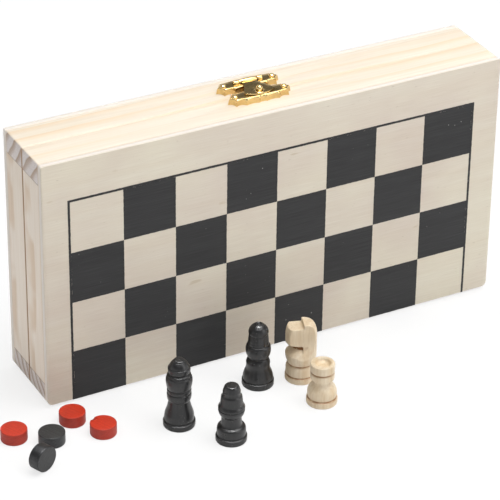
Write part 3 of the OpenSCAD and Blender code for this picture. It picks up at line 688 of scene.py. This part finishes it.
# Clasp nails: brass nails with low domed heads, driven through the ends of each plate into
# the rail below it.
nail_reach = 12.1 * MM
nail_shank, nail_tip = 0.6 * MM, plate_height - 10.6 * MM
head_radius, head_height = 1.45 * MM, 0.95 * MM
nail_outline = [
    (0, nail_tip), (nail_shank * 0.5, nail_tip + 0.8 * MM), (nail_shank, nail_tip + 2 * MM),
    (nail_shank, plate_height),
]
nail_outline += [
    (head_radius * math.cos(a), plate_height + head_height * math.sin(a))
    for a in (math.radians(d) for d in range(0, 90, 10))
]
nail_outline.append((0, plate_height + head_height))
for half, plate_y, label in (("front", catch_y, "catch"), ("rear", roll_y, "hinge")):
    tacks = assembled(f"clasp_{label}_tacks", [
        (spun(nail_outline, 40), Matrix.Translation((clasp_x + reach, plate_y, wood_z)))
        for reach in (-nail_reach, nail_reach)
    ], 40)
    dress(tacks, f"{half}_case", brass, f"clasp_{label}_nails")

# Ball stud: turned brass, riveted through the catch plate. A short stem lifts the ball, and
# the tongue's hole snaps over it.
stud_low, stud_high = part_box("clasp_stud")
ball_radius, stem_radius = 1.55 * MM, 0.75 * MM
ball_z = stud_high.z - wood_z - ball_radius
stud_outline = [
    (0, stud_low.z - wood_z), (1.2 * MM, stud_low.z - wood_z),
    (1.25 * MM, plate_height - 0.5 * MM), (stem_radius, plate_height - 0.45 * MM),
    (stem_radius, plate_height + 0.2 * MM),
]
stud_outline += [
    (ball_radius * math.cos(a), ball_z + ball_radius * math.sin(a))
    for a in (math.radians(d) for d in range(-54, 90, 9))
]
stud_outline.append((0, ball_z + ball_radius))
stud = assembled("clasp_ball_stud", [(spun(stud_outline, 48), at_catch)])
dress(stud, "front_case", brass, "clasp_stud")

# Clasp pin: a plain brass wire through the lugs and the roll, on whose axis the tongue
# swings.
dress(softened("clasp_pin", "clasp_pin_wire", 0.1 * MM), "rear_case", brass, "clasp_pin")

# Tongue: stamped from the same sheet as a shield with two corners and a rounded tip. Its neck
# is rolled round the pin in a fat spindle, and its hole has a raised collar.
tongue_low, tongue_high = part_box("clasp_tongue")
blade_z = wood_z + plate_height + 0.2 * MM
tongue_reach = roll_y - tongue_low.y
tongue_half = (tongue_high.x - tongue_low.x) / 2
hole_y, hole_radius = catch_y - roll_y, 1.7 * MM
# One side of the shield: shares of half its width, and millimetres up from its tip
shield_side = [
    (0, 0), (0.28, 0.12), (0.55, 0.55), (0.8, 1.35), (0.985, 2.35), (0.99, 2.75), (0.86, 5.4),
    (0.7, 7.6), (0.56, 9.4),
]
neck = in_mm([(3.45, -3.2), (3.45, -0.6)])
shield = [(share * tongue_half, up * MM - tongue_reach) for share, up in shield_side] + neck
tip, *flank = eased(shield, 0.4 * MM)
blade = bmesh.new()
outer = looped(blade, flank + [(-px, py) for px, py in reversed(flank)] + [tip], 0)
hole = looped(blade, [
    (hole_radius * math.cos(math.tau * i / 48), hole_y + hole_radius * math.sin(math.tau * i / 48))
    for i in range(48)
], 0)
bmesh.ops.triangle_fill(blade, edges=outer + hole, use_beauty=True)
pushed(blade, bmesh.ops.extrude_face_region(blade, geom=blade.faces[:]), (0, 0, sheet))
bmesh.ops.recalc_face_normals(blade, faces=blade.faces)
broken(blade, 0.14 * MM, segments=3, above=60)
collar = spun(in_mm([
    (1.72, 0.1), (2.3, 0.1), (2.45, 0.48), (2.3, 0.6), (2.0, 0.64), (1.8, 0.6), (1.72, 0.5),
]), 48, closed=True)
spindle = spun(in_mm(eased([
    (0.58, -4.5), (0.95, -4.5), (1.1, -4.2), (1.22, -3.3), (1.36, -1.9), (1.4, 0), (1.36, 1.9),
    (1.22, 3.3), (1.1, 4.2), (0.95, 4.5), (0.58, 4.5),
], 0.25)), 48, closed=True)
tongue = assembled("clasp_tongue_blade", [
    (blade, Matrix.Translation((clasp_x, roll_y, blade_z))),
    (collar, Matrix.Translation((clasp_x, roll_y + hole_y, blade_z))),
    (spindle, Matrix.Translation((clasp_x, roll_y, roll_z)) @ along_x),
], 50)
dress(tongue, "clasp_tongue", brass, "clasp_tongue")


# Black men: turned from dowel in one pass of a shaped cutter, then dipped in black lacquer,
# so the beads are a little soft and the ridges of the cutter show through.
man_steps, packed_steps = 72, 32
scorch_reach = 0.42
king_turning = [
    (7, 0), (7.16, 0.3), (7.16, 2.5), (6.5, 2.65), (6.35, 2.9), (6.6, 3.3), (6.62, 4.4),
    (6.52, 5.4),
    (6.36, 6.4), (6.1, 7.1), (5.85, 8), (5.6, 8.7), (5.35, 9.5), (5.1, 10.6), (4.85, 11.8),
    (4.65, 12.7), (4.62, 13.1), (4.9, 13.5), (5.25, 13.9), (5.38, 14.8), (5.46, 15.6), (5.44, 16.4),
    (5.35, 16.8), (5.05, 17), (5.05, 17.2), (5.33, 17.45), (5.37, 18.1), (5.33, 18.8),
    (5.08, 19.05),
    (5.08, 19.3), (5.35, 19.6), (5.52, 20.3), (5.7, 21.4), (5.86, 22.6), (5.88, 23.3), (5.8, 24.2),
    (5.6, 25), (5.3, 25.3), (5.05, 25.6), (5.2, 25.95), (5.22, 26.2), (5.0, 26.5), (4.45, 26.7),
    (4.4, 27), (4.7, 27.3), (4.9, 27.9), (4.98, 29.2), (4.95, 29.7), (4.55, 29.95), (4.3, 30.6),
    (3.95, 31.3), (3.5, 32), (2.95, 32.65), (2.7, 32.8), (2.55, 33.15), (2.2, 33.45), (0, 33.65),
]
queen_turning = [
    (7.05, 0), (7.25, 0.3), (7.25, 2.65), (6.7, 2.8), (6.55, 3.05), (6.85, 3.5), (6.82, 4.4),
    (6.7, 5.1),
    (6.5, 5.9), (6.25, 6.7), (5.9, 7.6), (5.55, 8.5), (5.38, 9.3), (5.32, 10), (5.38, 10.8),
    (5.42, 11.5), (5.36, 12.1), (5.2, 12.6), (4.95, 13.3), (4.6, 13.9), (4.4, 14.2), (4.5, 14.5),
    (5, 15.2), (5.4, 16.1), (5.58, 17), (5.7, 18.1), (5.68, 19), (5.5, 20.1), (5.2, 20.7),
    (4.65, 21.1), (4.75, 22), (4.7, 22.6), (4.58, 22.8), (4.66, 23.4), (4.5, 24.6), (4.35, 26),
    (4.15, 26.3), (4.5, 26.8), (4.5, 27.8), (4.2, 28.8), (3.5, 29.9), (2.5, 30.8), (1.75, 31.1),
    (1.6, 31.5), (1.15, 31.6), (0.95, 31.2), (0, 31.15),
]
bishop_turning = [
    (6.75, 0), (6.93, 0.3), (6.93, 2.5), (6.3, 2.65), (6.15, 2.9), (6.4, 3.4), (6.43, 4.4),
    (6.4, 5.7),
    (6.28, 6.6), (6.05, 7.1), (5.6, 7.5), (4.95, 7.8), (4.6, 8.2), (4.5, 9), (4.45, 10.4),
    (4.45, 11.8), (4.5, 12.6), (4.75, 12.85), (5.15, 13.3), (5.5, 14), (5.75, 14.8), (5.88, 15.6),
    (5.85, 16.05), (5.6, 16.25), (5.6, 16.45), (5.85, 16.65), (5.93, 16.95), (5.8, 17.4),
    (5.5, 17.95), (5.15, 18.5), (4.97, 19.4), (4.82, 20.8), (4.7, 21.8), (4.6, 22.6), (4.4, 22.95),
    (4.15, 23.3), (3.98, 23.9), (3.92, 24.5), (3.97, 25), (3.9, 25.4), (3.45, 26.8),
    (3.1, 27.6), (2.6, 28), (0, 28),
]


def scorch(up, grooves):
    """How burnt a height is, from 0 to 1, by a wire or cutter in the nearest groove."""
    return max([math.exp(-((up - g) / scorch_reach) ** 2) for g in grooves], default=0)


def turned(outline, steps, grooves=()):
    """A turned man about Z, with a burn value near its grooves."""
    bm = spun([(0, 0)] + in_mm(eased(outline, 0.22)), steps)
    scorch_and_shade = bm.verts.layers.float.new("scorch_and_shade")
    for vert in bm.verts:
        vert[scorch_and_shade] = scorch(vert.co.z / MM, grooves)
    return bm


def stood(node):
    """The matrix that puts a man on the middle of a CAD node's foot."""
    return Matrix.Translation((*middle(node)[:2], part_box(node)[0].z))


black_lacquer, tree, shader = new_material("black_lacquer")
fibres = noise_of(tree, (1500, 1500, 90))
ridges = noise_of(tree, (60, 60, 2600), 2.0)
tone = ramp(tree, fibres, [(0.3, (26, 26, 27)), (0.55, (31, 31, 32)), (0.75, (39, 39, 41))])
dust = fade(tree, noise_of(tree, 1900.0, 0.0), 0.80, 0.86)
tone = stained(tree, tone, (120, 118, 116), dust, 0.7)
worn = fade(tree, noise_of(tree, 260.0), -0.55, 2.1)
relief = worked(tree, "ADD", fibres, ridges)
surfaced(tree, shader, tone, worn, relief, 0.16, 0.05 * MM, **{
    "Coat Weight": 0.22, "Coat Roughness": 0.16, "Specular IOR Level": 0.42,
})
for name, outline in (
    ("king", king_turning), ("queen", queen_turning), ("bishop", bishop_turning)
):
    node = f"black_{name}"
    man = assembled(f"{node}_turned", [(turned(outline, man_steps), stood(node))])
    dress(man, node, black_lacquer, node)


# Pale men: the same turnings left as bare polished wood, with fibres that run up the piece
# and soft bands. The cutter has scorched the grooves brown. The rook's top is dished.
rook_turning = [
    (6.8, 0), (7, 0.3), (7, 2.6), (6.3, 2.9), (6.2, 3.2), (6.35, 3.6), (6.55, 4.4), (6.62, 5.4),
    (6.56, 6.4), (6.3, 7.3), (5.85, 8.1), (5.2, 9), (4.55, 9.8), (4.1, 10.6), (3.95, 11.3),
    (4.05, 12), (4.7, 12.35), (5.2, 12.5), (5.38, 12.9), (5.42, 15.3), (4.85, 15.6), (4.85, 16.1),
    (5.42, 16.4), (5.5, 19.9), (5.2, 20.3), (3.85, 20.3), (3.6, 20.1), (3.35, 19.6), (2.9, 19.1),
    (2.2, 18.85), (0.9, 18.8), (0.7, 18.9), (0, 18.92),
]
rook_grooves, knight_grooves = (3.05, 15.85), (3.1, 8.73)


def vertex_value(tree, name):
    """A value that the vertices of a mesh carry."""
    return node_of(tree, "ShaderNodeAttribute", attribute_name=name).outputs["Fac"]


pale_wood, tree, shader = new_material("pale_turned_wood")
fibres = noise_of(tree, (1300, 1300, 70), 4.0, 0.6)
tone = ramp(tree, fibres, [
    (0.3, (219, 200, 172)), (0.5, (227, 211, 185)), (0.72, (235, 221, 198)),
])
bands = noise_of(tree, (260, 260, 16), 2.0)
tone = shaded(tree, tone, bands, [(0.32, (238, 226, 206)), (0.64, (255, 255, 255))], 0.9)
uneven = fade(tree, noise_of(tree, 330.0), 0.1, 0.62)
# The scorch value also carries painted shade inside the knights' mouth slits.
scorch_and_shade_amount = worked(tree, "MULTIPLY", vertex_value(tree, "scorch_and_shade"), uneven)
tone = mixed(tree, tone, (148, 101, 55), worked(tree, "MINIMUM", scorch_and_shade_amount, 1.0))
surfaced(tree, shader, tone, 0.42, fibres, 0.25, 0.06 * MM)
rook_parts = [(turned(rook_turning, man_steps, rook_grooves), stood("white_rook"))]
rook = assembled("white_rook_turned", rook_parts)
dress(rook, "white_rook", pale_wood, "white_rook")


# Knights: a turned blank whose cheeks are milled flat and hollow, with the nose cut down and
# the mouth sawn in. The facets are sanded only a little.
mouth_up, mouth_half, mouth_radius, round_facing = 17.8, 0.8, 5.3, 0.97


def carved(node, places, grain):
    """A CAD knight rebuilt with softly broken edges, its grooves scorched, and its mouth slit
    darkened, partly as scorch and partly as painted shade inside the slit.
    """
    rough = bmesh.new()
    rough.from_mesh(bpy.data.objects[node].data)
    bmesh.ops.remove_doubles(rough, verts=rough.verts, dist=weld)
    block = finished(rough, f"{node}_block")
    remesh = block.modifiers.new("rebuilt", "REMESH")
    remesh.mode = "VOXEL"
    remesh.voxel_size = grain
    remesh.use_smooth_shade = True
    sand = block.modifiers.new("sanded", "SMOOTH")
    sand.factor, sand.iterations = 0.5, 3
    sanded = block.evaluated_get(bpy.context.evaluated_depsgraph_get())
    shaped = bpy.data.meshes.new_from_object(sanded)
    bpy.data.objects.remove(block)
    bm = bmesh.new()
    bm.from_mesh(shaped)
    bpy.data.meshes.remove(shaped)
    foot_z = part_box(node)[0].z
    scorch_and_shade = bm.verts.layers.float.new("scorch_and_shade")
    for vert in bm.verts:
        up = (vert.co.z - foot_z) / MM
        offsets = [Vector((vert.co.x - px, vert.co.y - py, 0)) for px, py in places]
        out = min(offsets, key=lambda v: v.length)
        radius, facing = out.length / MM, vert.normal.dot(out.normalized())
        vert[scorch_and_shade] = scorch(up, knight_grooves)
        # Painted shade: the mouth slit is darkened inside, partly a scorch and partly the shade in
        # the slit.
        if abs(up - mouth_up) < mouth_half and radius < mouth_radius and facing < round_facing:
            in_slit = min(1, (round_facing - facing) * 8) * min(1, (mouth_radius - radius) * 1.2)
            vert[scorch_and_shade] = 2 * in_slit
    return finished(bm, f"{node}_carved", 60)


knight = carved("white_knight", [middle("white_knight")[:2]], 0.2 * MM)
dress(knight, "white_knight", pale_wood, "white_knight")


# Counters: sawn from dowel, tumbled until the edges are eased, and dipped in thin red or
# black lacquer. One red counter has a chip out of its rim.
disc_radius, disc_thick, disc_ease = 5.9 * MM, 5.4 * MM, 0.34 * MM
chip_reach, chip_depth = 1.4 * MM, 0.7 * MM
saw_direction = (-0.646, -0.288, 0.707)


def counter(steps, nick=None):
    """A counter on its face about Z; nick is the direction of the chip in its rim."""
    middle_z = disc_thick / 2
    corner = [
        (disc_radius - disc_ease * (1 - math.cos(a)), middle_z - disc_ease * (1 - math.sin(a)))
        for a in (math.radians(d) for d in (0, 20, 45, 70, 90))
    ]
    outline = [(0, 0)] + [(r, middle_z - h) for r, h in reversed(corner)]
    outline += [(disc_radius, disc_thick * 0.7)] + [(r, middle_z + h) for r, h in corner]
    outline += [(disc_radius - d * MM, disc_thick) for d in (0.6, 0.9, 1.2, 1.5, 1.8, 2.1)]
    bm = spun(outline + [(0, disc_thick)], steps)
    chipped = bm.verts.layers.float.new("chipped")
    rim = bm.verts.layers.float.new("rim")
    for vert in bm.verts:
        vert[rim] = int(math.hypot(vert.co.x, vert.co.y) > disc_radius - disc_ease / 2)
    if nick is not None:
        outward = Vector((math.cos(nick), math.sin(nick), 0))
        chip = outward * (disc_radius - 0.7 * MM) + Vector((0, 0, disc_thick))
        for vert in bm.verts:
            away = (vert.co - chip).length
            if away < chip_reach:
                share = min(1, 1.7 * (1 - away / chip_reach))
                vert.co -= (outward * 0.1 + Vector((0, 0, 1))) * share * chip_depth
                vert[chipped] = share
    return bm


def lacquer_material(name, dark, plain, light, roughness, streak):
    """Thin lacquer over sawn end grain: speckled, with saw lines as dark as streak says."""
    material, tree, shader = new_material(name)
    speckle = noise_of(tree, 1500.0, 4.0, 0.65)
    tone = ramp(tree, speckle, [(0.3, dark), (0.5, plain), (0.72, light)])
    tone = shaded(tree, tone, noise_of(tree, 230.0), [
        (0.3, (238, 234, 234)), (0.65, (255, 255, 255)),
    ], 0.8)
    across = node_of(
        tree, "ShaderNodeVectorMath", mapped(tree), saw_direction, operation="DOT_PRODUCT"
    )
    teeth = node_of(
        tree, "ShaderNodeTexNoise", noise_dimensions="1D", W=across.outputs["Value"],
        Scale=1900.0, Detail=2.0,
    )
    sawn = teeth.outputs["Fac"]
    tone = shaded(tree, tone, sawn, [(0.34, (166, 166, 166)), (0.62, (255, 255, 255))], streak)
    tone = mixed(tree, tone, (228, 230, 236), vertex_value(tree, "rim"), "MULTIPLY")
    # Painted shade: the hollow of the chip is darkened to a deep red.
    tone = stained(tree, tone, (96, 26, 16), vertex_value(tree, "chipped"), 0.6)
    relief = worked(tree, "ADD", speckle, sawn)
    surfaced(tree, shader, tone, roughness, relief, 0.3, 0.07 * MM)
    return material


red_lacquer = lacquer_material(
    "red_lacquer", (188, 42, 10), (198, 47, 14), (207, 57, 22), 0.5, 0.2
)
black_paint = lacquer_material(
    "black_counter_lacquer", (32, 33, 34), (43, 44, 45), (64, 65, 68), 0.42, 1.0
)
on_edge = (
    Matrix.Translation(middle("black_disc_on_edge"))
    @ Matrix.Rotation(math.radians(-66), 4, "Z") @ along_x
    @ Matrix.Translation((0, 0, -disc_thick / 2))
)
for node, place, nick in (
    ("red_disc_left", stood("red_disc_left"), None),
    ("red_disc_middle", stood("red_disc_middle"), None),
    ("red_disc_right", stood("red_disc_right"), math.radians(118)),
    ("black_disc_flat", stood("black_disc_flat"), None), ("black_disc_on_edge", on_edge, None),
):
    disc = assembled(f"{node}_counter", [(counter(96, nick), place)])
    colour = node.split("_")[0]
    dress(disc, node, red_lacquer if colour == "red" else black_paint, node)


# Packed men: the rest of both sides, the same turnings, standing in two rows in the front
# tray with the pawns below.
pawn_turning = [
    (6, 0), (6.2, 0.4), (6.2, 2), (5.7, 2.3), (5.7, 2.6), (5.9, 3), (5.6, 4.6), (4.9, 6.2),
    (4, 7.8), (3.3, 9.6), (3, 11.2), (3.7, 11.6), (3.9, 12.1), (3.6, 12.6), (2.6, 12.9),
    (3.3, 13.6), (3.75, 14.6), (3.9, 15.7), (3.75, 16.9), (3.2, 18.1), (2.3, 19), (1.2, 19.4),
    (0, 19.5),
]
tray_low, tray_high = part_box("packed_black_pawns")
pawn_radius = 6.2 * MM
man_pitch = (tray_high.x - tray_low.x - 2 * pawn_radius) / 7
first_x = tray_low.x + pawn_radius
upper_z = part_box("packed_white_king")[0].z
pale, black = (pale_wood, "pale_wood"), (black_lacquer, "black_wood")
packed_rows = [
    ("packed_black_pawns", pawn_turning, (), black, [(c, tray_low.z) for c in range(8)]),
    ("packed_white_pawns", pawn_turning, (2.45, 12.9), pale,
     [(c, tray_low.z) for c in range(8, 14)] + [(0, upper_z), (1, upper_z)]),
    ("packed_white_rook", rook_turning, rook_grooves, pale, [(2, upper_z)]),
    ("packed_black_rooks", rook_turning, (), black, [(3, upper_z), (4, upper_z)]),
    ("packed_black_bishop", bishop_turning, (), black, [(8, upper_z)]),
    ("packed_white_bishops", bishop_turning, (3.15, 23.5), pale, [(9, upper_z), (10, upper_z)]),
    ("packed_white_queen", queen_turning, (2.35, 17.35), pale, [(11, upper_z)]),
    ("packed_white_king", king_turning, (2.75, 15.0, 27.2), pale, [(12, upper_z)]),
]
for node, outline, grooves, (wood, slot), places in packed_rows:
    y = middle(node)[1]
    row = assembled(f"{node}_turned", [(
        turned(outline, packed_steps, grooves),
        Matrix.Translation((first_x + column * man_pitch, y, foot_z)),
    ) for column, foot_z in places])
    dress(row, "front_case", wood, node)
packed_knight = carved("packed_white_knight", [middle("packed_white_knight")[:2]], 0.3 * MM)
dress(packed_knight, "front_case", pale_wood, "packed_white_knight")
knights_y = middle("packed_black_knights")[1]
knights_at = [(first_x + column * man_pitch, knights_y) for column in (6, 7)]
packed_knights = carved("packed_black_knights", knights_at, 0.3 * MM)
dress(packed_knights, "front_case", black_lacquer, "packed_black_knights")


# Packed counters: the rest of both colours, laid on edge in a roll along the top of the tray.
# They are made like the loose ones, with fewer steps round.
for colour, count, material in (("red", 12, red_lacquer), ("black", 13, black_paint)):
    node = f"packed_{colour}_discs"
    low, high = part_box(node)
    pitch = (high.x - low.x - disc_thick) / (count - 1)
    roll = assembled(f"{node}_counters", [
        (counter(48), Matrix.Translation((low.x + i * pitch, *middle(node)[1:])) @ along_x)
        for i in range(count)
    ])
    dress(roll, "front_case", material, node)


# Dice: moulded ivory plastic with tumbled corners, the pips drilled and filled with black.
# The two lie one over the other in the tray.
ivory, tree, shader = new_material("ivory_plastic")
cast = noise_of(tree, 500.0, 2.0)
tone = ramp(tree, cast, [(0.3, (238, 232, 214)), (0.7, (245, 240, 225))])
surfaced(tree, shader, tone, 0.25, cast, 0.1, 0.02 * MM, **{"Subsurface Weight": 0.1})
pip_paint, tree, shader = new_material("pip_paint")
tone = ramp(tree, noise_of(tree, 1800.0, 2.0), [(0.3, (24, 24, 26)), (0.7, (38, 38, 40))])
wired(tree, shader.inputs["Base Color"], tone)
wired(tree, shader.inputs["Roughness"], 0.4)
dice = softened("packed_dice", "packed_dice_moulded", 0)
dress(dice, "front_case", ivory, "packed_dice")
dice.data.materials.append(pip_paint)
dice_low, dice_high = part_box("packed_dice")
half_side = (dice_high.x - dice_low.x) / 2
die_middles = [
    Vector((*middle("packed_dice")[:2], z))
    for z in (dice_low.z + half_side, dice_high.z - half_side)
]
# A pip lies a little deeper than the flat of its side, and nearer than the rounded corners
pip_level, corner_reach = half_side - 0.02 * MM, 1.32 * half_side
for face in dice.data.polygons:
    from_middle = min((face.center - m for m in die_middles), key=lambda v: v.length)
    if max(abs(c) for c in from_middle) < pip_level and from_middle.length < corner_reach:
        face.material_index = 1
